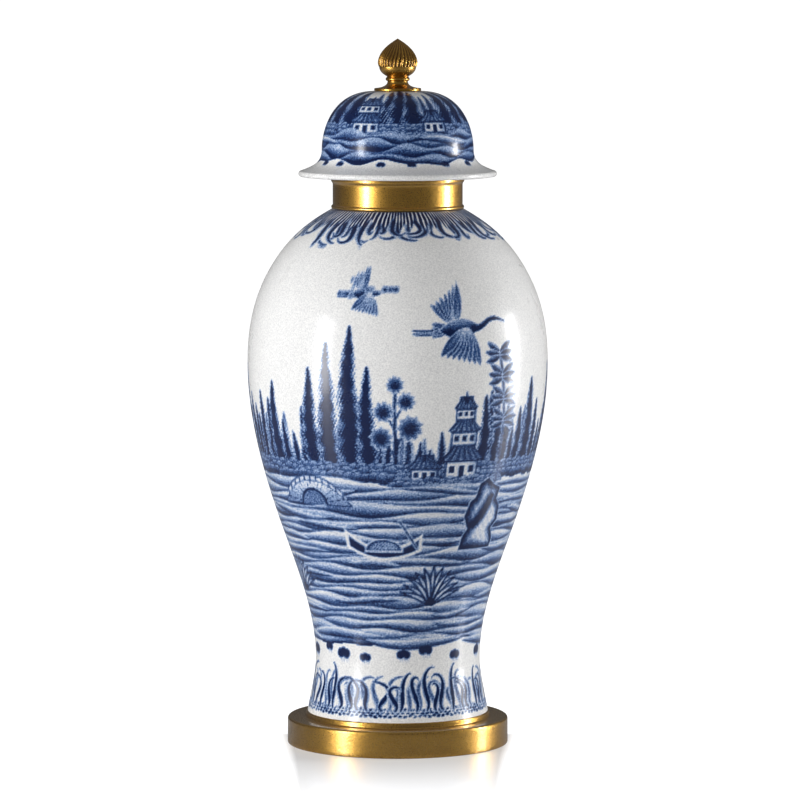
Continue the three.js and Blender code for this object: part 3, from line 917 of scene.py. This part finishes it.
def glazed_porcelain(shared, finishes):
    """White porcelain with cobalt painting under a clear glaze."""
    material, tree, shader, place = new_material("Painted porcelain")
    depth = put(tree, "Attribute", attribute_name="cobalt").outputs["Fac"]
    uneven = placed(tree, shared, Vector=place, Grain_Size=0.0012, Patch_Size=0.02)
    room = sum_of(tree, "MULTIPLY", depth, sum_of(tree, "SUBTRACT", 1.06, depth))
    stipple = sum_of(tree, "MULTIPLY", sum_of(tree, "SUBTRACT", uneven["Grain"], 0.5), room)
    pooled = sum_of(tree, "MULTIPLY", sum_of(tree, "SUBTRACT", uneven["Patches"], 0.5), room)
    washed = sum_of(tree, "MULTIPLY_ADD", pooled, 0.45, depth)
    inked = sum_of(tree, "MULTIPLY_ADD", stipple, 1.3, washed, clamp=True)
    ramp = put(tree, "ValToRGB", {"Fac": inked})
    stops = ((0.0, finishes.porcelain), (0.24, finishes.pale_wash), (0.54, finishes.full_wash),
             (0.84, finishes.dark_wash))
    stones = ramp.color_ramp.elements
    while len(stones) < len(stops):
        stones.new(0.5)
    for stone, (at, tone) in zip(stones, stops):
        stone.position, stone.color = at, (*tone, 1)
    tint = (0.73, 0.735, 0.75, 1)
    mottle = sum_of(tree, "MULTIPLY_ADD", uneven["Patches"], 0.08, uneven["Grain"])
    clay = blend(tree, mottle, ramp.outputs[0], blend(tree, 1.0, ramp.outputs[0], tint, "MULTIPLY"))
    fleck = sum_of(tree, "MULTIPLY", uneven["Specks"], 0.02)
    tree.links.new(blend(tree, fleck, clay, (0.35, 0.36, 0.4, 1)), shader.inputs["Base Color"])
    tree.links.new(span(tree, uneven["Patches"], 0, 1, 0.26, 0.36), shader.inputs["Roughness"])
    shader.inputs["IOR"].default_value = 1.5
    shader.inputs["Specular IOR Level"].default_value = 0.2
    shader.inputs["Coat Weight"].default_value = 0.38
    shader.inputs["Coat Roughness"].default_value = 0.14
    shader.inputs["Coat IOR"].default_value = 1.5
    ripple = noise(tree, place, 0.012, 1)
    grained = sum_of(tree, "MULTIPLY_ADD", uneven["Grain"], 0.03, ripple)
    relief(tree, shader, sum_of(tree, "MULTIPLY_ADD", inked, 0.12, grained), 0.0003)
    return material


def bare_porcelain(shared):
    """Unglazed fired clay, where the jar and its lid rest."""
    material, tree, shader, place = new_material("Bare porcelain")
    uneven = placed(tree, shared, Vector=place, Grain_Size=0.0006, Patch_Size=0.015)
    tone = blend(tree, uneven["Patches"], (0.74, 0.71, 0.66, 1), (0.62, 0.57, 0.5, 1))
    tree.links.new(blend(tree, uneven["Specks"], tone, (0.3, 0.24, 0.2, 1)), shader.inputs["Base Color"])
    tree.links.new(span(tree, uneven["Grain"], 0, 1, 0.7, 0.92), shader.inputs["Roughness"])
    relief(tree, shader, uneven["Grain"], 0.0001)
    return material


def antique_brass(shared, finishes, name, turned, pitted, aged, lacquer):
    """Satin brass: fine turning lines, pitting, and brown tarnish in hollows and patches."""
    material, tree, shader, place = new_material(name)
    uneven = placed(tree, shared, Vector=place, Grain_Size=0.0008, Patch_Size=0.014)
    apart = put(tree, "SeparateXYZ", {0: place}).outputs
    radius = sum_of(tree, "SQRT", sum_of(tree, "ADD", sum_of(tree, "MULTIPLY", apart[0], apart[0]),
                                         sum_of(tree, "MULTIPLY", apart[1], apart[1])))
    rings = put(tree, "CombineXYZ", {0: radius, 1: 0.0, 2: apart[2]}).outputs[0]
    lines = noise(tree, rings, 0.00045, 3, 0.7)
    hollow = put(tree, "Attribute", attribute_name="hollow").outputs["Fac"]
    brown = sum_of(tree, "MULTIPLY_ADD", uneven["Specks"], 0.25, aged)
    brown = sum_of(tree, "MULTIPLY_ADD", uneven["Patches"], 0.2, brown)
    brown = sum_of(tree, "MULTIPLY_ADD", hollow, 0.95, brown)
    mottle = sum_of(tree, "SUBTRACT", uneven["Grain"], 0.5)
    brown = sum_of(tree, "MULTIPLY_ADD", mottle, 0.55, brown, clamp=True)
    tone = blend(tree, brown, (*finishes.brass, 1), (*finishes.tarnish, 1))
    tree.links.new(tone, shader.inputs["Base Color"])
    shader.inputs["Metallic"].default_value = 1.0
    shader.inputs["Coat Weight"].default_value = lacquer
    shader.inputs["Coat Roughness"].default_value = 0.18
    rough = sum_of(tree, "MULTIPLY_ADD", brown, 0.16, span(tree, uneven["Grain"], 0, 1, 0.21, 0.35))
    tree.links.new(sum_of(tree, "MULTIPLY_ADD", lines, 0.05, rough), shader.inputs["Roughness"])
    cut = sum_of(tree, "MULTIPLY", lines, turned)
    relief(tree, shader, sum_of(tree, "MULTIPLY_ADD", uneven["Grain"], pitted, cut), 0.00012)
    return material


def finish_set():
    """The materials, made once and shared by the pieces."""
    if "Painted porcelain" not in bpy.data.materials:
        shared = worn_surface()
        finishes = bpy.context.scene.covered_jar_finishes
        glazed_porcelain(shared, finishes)
        bare_porcelain(shared)
        antique_brass(shared, finishes, "Turned brass", 0.6, 0.24, 0.0, 1.0)
        antique_brass(shared, finishes, "Cast brass", 0.3, 0.3, 0.16, 0.4)
    return bpy.data.materials


def jar_radius(sizes, height):
    """Outer radius of the jar at heights above its foot."""
    height = np.asarray(height, float)
    stations = (
        (sizes.flare_height, sizes.flare_radius, sizes.flare_slope),
        (sizes.waist_height, sizes.waist_radius, 0),
        (sizes.flank_height, sizes.flank_radius, sizes.flank_slope),
        (sizes.belly_height, reach("jar_body"), 0),
        (sizes.shoulder_height, sizes.shoulder_radius, sizes.shoulder_slope),
        (sizes.neck_foot_height, sizes.neck_foot_radius, sizes.neck_foot_slope),
    )
    radius = np.zeros_like(height)
    for n, ((z0, r0, m0), (z1, r1, m1)) in enumerate(zip(stations, stations[1:])):
        here = (height >= z0) | (n == 0)
        t = (height[here] - z0) / (z1 - z0)
        rise = z1 - z0
        radius[here] = ((1 - t) ** 2 * ((1 + 2 * t) * r0 + t * rise * m0)
                        + t * t * ((3 - 2 * t) * r1 - (1 - t) * rise * m1))
    return radius


MEETING = 240  # height in millimetres where the jar's two meshes meet


class MakeJarBody(bpy.types.Operator):
    """Makes the painted baluster jar, hollow and open at its neck"""

    bl_idname = "covered_jar.body"
    bl_label = "Jar"

    def execute(self, context):
        sizes = context.scene.covered_jar_body
        base, top = low("jar_body"), high("jar_body")
        columns = spaced((-180, 0.96), (-95, 0.9), (-66, 0.56), (66, 0.9), (95, 0.96), 180)[:-1]
        start, end = (base + sizes.foot_rounding) * 1000, (base + sizes.neck_foot_height) * 1000
        rows = spaced((start, 1.15), (74, 2), (80, 1.15), (MEETING, 1.15), (305, 1.25), (398, 4),
                      (437, 0.75), end)
        split = int(np.searchsorted(rows, MEETING))
        wall = [(r, z / 1000) for r, z in zip(jar_radius(sizes, rows / 1000 - base), rows)]
        ring = sizes.foot_radius - sizes.foot_ring
        floor = base + sizes.recess + sizes.floor
        mouth = sizes.neck_radius - sizes.wall
        probe = 1e-5

        def lean(height):
            return (jar_radius(sizes, height) - jar_radius(sizes, height - probe)) / probe

        inside = np.linspace(sizes.neck_foot_height, sizes.recess + sizes.floor, 22)[1:]
        bore = maximum(mouth, jar_radius(sizes, inside) - sizes.wall * hypot(1, lean(inside)))
        foot = [(0, base + sizes.recess), (ring - 0.001, base + sizes.recess), (ring, base)]
        foot += arc((sizes.foot_radius - sizes.foot_rounding, base + sizes.foot_rounding),
                    sizes.foot_rounding, -90, 0, 4)[:-1]
        turned_over = (sizes.neck_radius - sizes.rounding, top - sizes.rounding)
        neck = [(sizes.neck_radius, wall[-1][1]), *arc(turned_over, sizes.rounding, 0, 90, 4)]
        mouth_edge = [(mouth, top), (mouth, base + sizes.neck_foot_height)]
        bore = [(r, base + z) for r, z in zip(bore, inside)]
        halfway = [(r, z) for r, z in bore if z < rows[split] / 1000]
        bore_radii, bore_heights = zip(*bore[::-1])
        meet = (float(np.interp(rows[split] / 1000, bore_heights, bore_radii)), rows[split] / 1000)
        canvas = Canvas(columns, rows, [1000 * r for r, z in wall], seed=7)
        landscape(canvas)
        cobalt = clip(canvas.depth, 0, 1)
        cut = split * len(columns)
        lower = foot + wall[:split + 1] + [meet] + halfway + [(0, floor)]
        above_meet = wall[split:] + neck + mouth_edge
        upper = above_meet + bore[:len(bore) - len(halfway)] + [meet, wall[split]]
        slant = float(lean(np.array([rows[split] / 1000 - base]))[0])
        crest = len(foot) + split
        below = spin("jar_porcelain_lower", lower, columns, [*range(1, 5), *range(crest + 1, len(lower) - 1)],
                     joint=(crest, slant), values={"cobalt": (len(foot), cobalt[:cut + len(columns)])})
        above = spin("jar_porcelain_upper", upper, columns, range(len(above_meet), len(upper) - 1),
                     joint=(0, slant), values={"cobalt": (0, cobalt[cut:])})
        finishes = finish_set()
        for jar in (below, above):
            fit(jar, "jar_body", "porcelain", finishes["Painted porcelain"], finishes["Bare porcelain"])
        for face in below.data.polygons:
            at = face.center
            if at.z < base + 0.0006 and hypot(at.x, at.y) > ring * 0.98:
                face.material_index = 1
        return {"FINISHED"}


BRIM_ROWS = 18  # rings of the brim that carry painting


def lid_outline(sizes, base, edge):
    """The lid's outline, the number of its points underneath, and how many more come before the painting."""

    def dome(wall, steps):
        r, top = sizes.radius - wall, sizes.height - wall
        return bend((r, sizes.spring), (r, sizes.spring + sizes.rise),
                    (sizes.crown + sizes.sweep - wall, top), (sizes.crown, top), steps=steps)

    lip = (edge - sizes.lip, sizes.lip)
    run = sizes.brim_sweep * (lip[0] - sizes.radius)
    inner = sizes.flange_radius - sizes.flange_wall
    within, outer = sizes.radius - sizes.wall, sizes.flange_radius
    foot, broken = -sizes.flange_depth, sizes.flange_edge
    under = [(0, sizes.height - sizes.wall), *dome(sizes.wall, 10)[::-1], (within, sizes.spring),
             (within, sizes.wall), (inner, sizes.wall), (inner, foot + broken), (inner + broken, foot),
             (outer - broken, foot), (outer, foot + broken), (outer, 0)]
    outside = arc(lip, sizes.lip, -90, 90, 8)
    outside += bend((lip[0], 2 * sizes.lip), (lip[0] - run, 2 * sizes.lip + run * sizes.brim_slope),
                    (sizes.radius, sizes.spring - sizes.brim_tuck), (sizes.radius, sizes.spring), steps=26)
    painted = len(outside) - BRIM_ROWS
    outside += dome(0, 78)
    outline = [(r, base + z) for r, z in under + outside + [(0, sizes.height)]]
    return outline, len(under), painted


class MakeLid(bpy.types.Operator):
    """Makes the painted domed lid with its brim and the flange inside the mouth"""

    bl_idname = "covered_jar.lid"
    bl_label = "Lid"

    def execute(self, context):
        sizes = context.scene.covered_jar_lid
        base = low("lid") + sizes.flange_depth
        outline, first, painted = lid_outline(sizes, base, reach("lid"))
        columns = spaced((-180, 1.7), (-90, 0.9), (90, 1.7), 180)[:-1]
        start = first + painted
        run = np.array(outline[start:-1]) * 1000
        path = np.concatenate([[0], np.cumsum(hypot(*np.diff(run, axis=0).T))])
        canvas = Canvas(columns, path, run[:, 0], seed=11)
        lid_landscape(canvas, path[BRIM_ROWS - 1])
        lid = spin("lid_porcelain", outline, columns, range(1, first),
                   values={"cobalt": (start, clip(canvas.depth, 0, 1))})
        finishes = finish_set()
        fit(lid, "lid", "porcelain", finishes["Painted porcelain"], finishes["Bare porcelain"])
        flange_foot = base - sizes.flange_depth + 1.5 * sizes.flange_edge
        for face in lid.data.polygons:
            rests = abs(face.center.z - base) < 0.0002 and face.normal.z < -0.5
            if face.center.z < flange_foot or rests:
                face.material_index = 1
        return {"FINISHED"}


class MakePlinth(bpy.types.Operator):
    """Makes the turned brass plinth, hollow underneath, with the rim that holds the jar"""

    bl_idname = "covered_jar.plinth"
    bl_label = "Plinth"

    def execute(self, context):
        sizes = context.scene.covered_jar_mounts
        radius, height, wall = reach("plinth"), sizes.drum_height, sizes.drum_wall
        rim = sizes.rim_radius + sizes.rim_wall
        side = np.linspace(sizes.edge, height - sizes.drum_rounding, 8)[1:-1]
        outline = [
            (0, height - wall), (radius - wall, height - wall), (radius - wall, 0),
            (radius - sizes.edge, 0), (radius - sizes.edge * 0.3, sizes.edge * 0.3), (radius, sizes.edge),
            *((radius, z) for z in side),
            *arc((radius - sizes.drum_rounding, height - sizes.drum_rounding), sizes.drum_rounding, 0, 90, 8),
            *arc((rim + sizes.rim_fillet, height + sizes.rim_fillet), sizes.rim_fillet, -90, -180, 6),
            *arc((sizes.rim_radius + sizes.rim_wall / 2, high("plinth") - sizes.rim_wall / 2),
                 sizes.rim_wall / 2, 0, 180, 12),
            (sizes.rim_radius, height), (0, height),
        ]
        plinth = spin("plinth_brass", outline, spaced((-180, 1.8), 180)[:-1])
        fit(plinth, "plinth", "brass", finish_set()["Turned brass"])
        return {"FINISHED"}


class MakeNeckBand(bpy.types.Operator):
    """Makes the brass band round the neck, with a bead below and a lip above"""

    bl_idname = "covered_jar.neck_band"
    bl_label = "Neck band"

    def execute(self, context):
        sizes = context.scene.covered_jar_mounts
        base, top = low("neck_band"), high("neck_band")
        radius = sizes.band_bore + sizes.band_wall
        meets = math.degrees(math.acos((sizes.bead - sizes.bead_proud) / sizes.bead))
        lip, under = reach("neck_band"), top - sizes.lip_height
        start = under - sizes.lip_flare
        edge = 0.0007
        outline = [
            (sizes.band_bore, base),
            *arc((radius + sizes.bead_proud - sizes.bead, base + sizes.bead), sizes.bead, -90, meets, 12),
            (radius, base + 0.005), (radius, start - 0.002), (radius, start),
            *bend((radius, start), (radius, under - sizes.lip_flare / 2), (lip, under - sizes.lip_flare / 3),
                  (lip, under), steps=6),
            *arc((lip - edge, top - edge), edge, 0, 90, 5),
            (sizes.band_bore, top), (sizes.band_bore, base),
        ]
        band = spin("neck_band_brass", outline, spaced((-180, 2.25), 180)[:-1])
        fit(band, "neck_band", "brass", finish_set()["Turned brass"])
        return {"FINISHED"}


class MakeFinial(bpy.types.Operator):
    """Makes the brass finial: foot, stem, ring, bowl and a fluted bud"""

    bl_idname = "covered_jar.finial"
    bl_label = "Finial"

    def execute(self, context):
        sizes = context.scene.covered_jar_mounts
        base, top, foot = low("finial"), high("finial"), reach("finial")
        stem, thick = sizes.stem_radius, sizes.foot_thickness
        ring_top, half_ring = sizes.stem_height + sizes.ring, sizes.ring / 2
        bowl = (sizes.bowl_foot, ring_top + 0.0006)
        bud = bowl[1] + sizes.bowl_height
        bud_top = top - base
        stalk = [
            (0, 0), (foot - 0.0005, 0), (foot, 0.0005), (foot, thick - 0.0004), (foot - 0.0004, thick),
            *bend((foot - 0.0004, thick), (stem + 0.005, thick + 0.0005), (stem, thick + 0.002),
                  (stem, sizes.stem_height), steps=12),
            *arc((stem + sizes.ring_proud - half_ring, ring_top - half_ring), half_ring, -60, 60, 10),
            bowl,
            *bend(bowl, (bowl[0] + 0.003, bowl[1] + 0.0015),
                  (sizes.bowl_radius, bud - sizes.bowl_height / 2), (sizes.bowl_radius, bud), steps=12),
        ]
        widest = (sizes.bud_radius, bud + 0.003)
        head = [
            (sizes.bowl_radius + 0.0005, bud), (sizes.bud_radius - 0.0005, bud + 0.001), widest,
            *bend(widest, (sizes.bud_radius, widest[1] + sizes.bud_shoulder), (0.002, bud_top - 0.0016),
                  (0, bud_top), steps=40),
        ]
        outline = [(r, base + z) for r, z in stalk + head]
        columns = np.linspace(-180, 180, sizes.flutes * 10, endpoint=False)
        foot_of_bud = base + bud

        def climb(points):
            return (points[:, 2] - foot_of_bud) / (top - foot_of_bud)

        def press(points):
            """Presses the flutes into the bud's wall, leaning round as they climb."""
            radius = hypot(points[:, 0], points[:, 1])
            angle = np.arctan2(points[:, 1], points[:, 0])
            up = climb(points)
            depth = np.where(up > 0, sizes.flute_depth * radius / sizes.bud_radius, 0)
            pressed = radius - depth / 2 * (1 - cos(sizes.flutes * angle))
            turned = angle + np.where(up > 0, sizes.flute_turn * up, 0)
            return np.stack([pressed * cos(turned), pressed * sin(turned), points[:, 2]], axis=1)

        rings = np.array([z for r, z in outline[len(stalk):-1]])
        furrow = 0.5 - 0.5 * cos(sizes.flutes * radians(columns - 90))
        deep = np.where(rings[:, None] > foot_of_bud + 1e-6, furrow[None, :] ** 1.5, 0.6)
        finial = spin("finial_brass", outline, columns, form=press,
                      values={"hollow": (len(stalk), deep.ravel())})
        fit(finial, "finial", "brass", finish_set()["Cast brass"])
        return {"FINISHED"}


def soft_box(name, place, aim, width, height, power):
    """A soft rectangular light."""
    data = bpy.data.lights.new(name, "AREA")
    data.shape, data.size, data.size_y, data.energy = "RECTANGLE", width, height, power
    lamp = bpy.data.objects.new(name, data)
    lamp.location = place
    lamp.rotation_euler = (Vector(aim) - Vector(place)).to_track_quat("-Z", "Y").to_euler()
    bpy.context.scene.collection.objects.link(lamp)
    return lamp


def around(azimuth, distance, height):
    """A place round the jar, with azimuth 0 at the front and growing to the viewer's right."""
    a = math.radians(azimuth)
    return (distance * math.sin(a), -distance * math.cos(a), height)


class MakeStage(bpy.types.Operator):
    """Makes the pale floor with its painted glow, the soft lights and the camera"""

    bl_idname = "covered_jar.stage"
    bl_label = "Stage"

    def execute(self, context):
        settings = context.scene.covered_jar_stage
        mesh = bpy.data.meshes.new("floor")
        mesh.from_pydata([(-30, -30, 0), (30, -30, 0), (30, 30, 0), (-30, 30, 0)], [], [(0, 1, 2, 3)])
        floor = bpy.data.objects.new("floor", mesh)
        context.scene.collection.objects.link(floor)
        material, tree, shader, place = new_material("Pale floor")
        mottle = noise(tree, place, 0.4, 2)
        tone = blend(tree, mottle, (0.6, 0.6, 0.6, 1), (0.64, 0.64, 0.64, 1))
        tree.links.new(tone, shader.inputs["Base Color"])
        tree.links.new(span(tree, mottle, 0, 1, 0.2, 0.25), shader.inputs["Roughness"])
        # Painted glow: the floor shines white to the camera alone, full beside and far from the plinth and
        # weaker in front of it, so that the plinth's shadow and reflection show there.
        seen = tree.nodes.new("ShaderNodeLightPath").outputs["Is Camera Ray"]
        shader.inputs["Emission Color"].default_value = (1, 1, 1, 1)
        away = put(tree, "VectorMath", {0: place}, operation="LENGTH").outputs["Value"]
        apart = put(tree, "SeparateXYZ", {0: place}).outputs
        beside = sum_of(tree, "MULTIPLY_ADD", apart[1], -0.07, sum_of(tree, "ABSOLUTE", apart[0]))
        around_it = sum_of(tree, "MAXIMUM", beside, sum_of(tree, "ADD", apart[1], 0.06))
        white = sum_of(tree, "MAXIMUM", span(tree, away, 0.12, 0.4, 0.34, 1.0),
                       span(tree, around_it, 0.087, 0.102, 0, 1))
        painted_glow = sum_of(tree, "MULTIPLY", seen, white)
        tree.links.new(painted_glow, shader.inputs["Emission Strength"])
        floor.data.materials.append(material)
        world = bpy.data.worlds.new("studio")
        context.scene.world = world
        world.use_nodes = True
        tree = world.node_tree
        tree.nodes.clear()
        seen = tree.nodes.new("ShaderNodeLightPath").outputs["Is Camera Ray"]
        sky = tree.nodes.new("ShaderNodeTexCoord").outputs["Generated"]
        glow = span(tree, put(tree, "SeparateXYZ", {0: sky}).outputs[2], 0.0, 0.9, 0.04, 0.26)
        strength = put(tree, "Mix", {0: seen, 2: glow, 3: 1.1}, data_type="FLOAT").outputs[0]
        light = put(tree, "Background", {"Color": (1, 1, 1, 1), "Strength": strength})
        output = tree.nodes.new("ShaderNodeOutputWorld")
        tree.links.new(light.outputs[0], output.inputs[0])
        for name, place, aim, width, height, power in (
            ("left light", around(-57, 1.9, 0.5), 0.3, 0.36, 1.0, 25),
            ("right light", around(97, 1.7, 0.5), 0.3, 0.3, 0.5, 15),
            ("low right light", around(97, 1.7, 0.08), 0.05, 0.3, 0.15, 5),
            ("left fill", around(-108, 2.4, 0.7), 0.3, 1.2, 1.2, 14),
            ("right fill", around(112, 2.4, 0.7), 0.3, 1.2, 1.2, 9),
            ("front fill", around(8, 3.4, 1.3), 0.3, 2.2, 1.4, 27),
        ):
            lamp = soft_box(name, place, (0, 0, aim), width, height, power)
            lamp.visible_glossy = "fill" not in name
        camera = bpy.data.objects.new("camera", bpy.data.cameras.new("camera"))
        camera.data.sensor_width = 36
        camera.data.lens = settings.lens
        camera.data.clip_end = 100
        camera.location = (settings.aside, -settings.distance, settings.eye)
        aim = Vector((settings.aside, 0, settings.aim)) - camera.location
        camera.rotation_euler = aim.to_track_quat("-Z", "Y").to_euler()
        context.scene.collection.objects.link(camera)
        context.scene.camera = camera
        context.scene.view_settings.view_transform = "Standard"
        return {"FINISHED"}


MAKERS = (MakeStage, MakePlinth, MakeJarBody, MakeNeckBand, MakeLid, MakeFinial)


class JarPanel(bpy.types.Panel):
    """Lists the pieces of the jar"""

    bl_idname = "VIEW3D_PT_covered_jar"
    bl_label = "Covered jar"
    bl_space_type = "VIEW_3D"
    bl_region_type = "UI"
    bl_category = "Covered Jar"

    def draw(self, context):
        for maker in MAKERS:
            self.layout.operator(maker.bl_idname)
        for group_name in SETTINGS:
            settings = getattr(context.scene, group_name)
            column = self.layout.column()
            for name in settings.bl_rna.properties.keys():
                if name not in ("rna_type", "name"):
                    column.prop(settings, name)


SETTINGS = {
    "covered_jar_body": JarBodySizes,
    "covered_jar_lid": LidSizes,
    "covered_jar_mounts": MountSizes,
    "covered_jar_finishes": Finishes,
    "covered_jar_stage": StageSettings,
}


def register():
    for made in (*SETTINGS.values(), *MAKERS, JarPanel):
        bpy.utils.register_class(made)
    for name, made in SETTINGS.items():
        setattr(bpy.types.Scene, name, PointerProperty(type=made))


def unregister():
    for name in SETTINGS:
        delattr(bpy.types.Scene, name)
    for made in reversed((*SETTINGS.values(), *MAKERS, JarPanel)):
        bpy.utils.unregister_class(made)


def main():
    register()
    bpy.ops.covered_jar.stage()
    bpy.ops.covered_jar.plinth()
    bpy.ops.covered_jar.body()
    bpy.ops.covered_jar.neck_band()
    bpy.ops.covered_jar.lid()
    bpy.ops.covered_jar.finial()


if __name__ == "__main__":
    main()
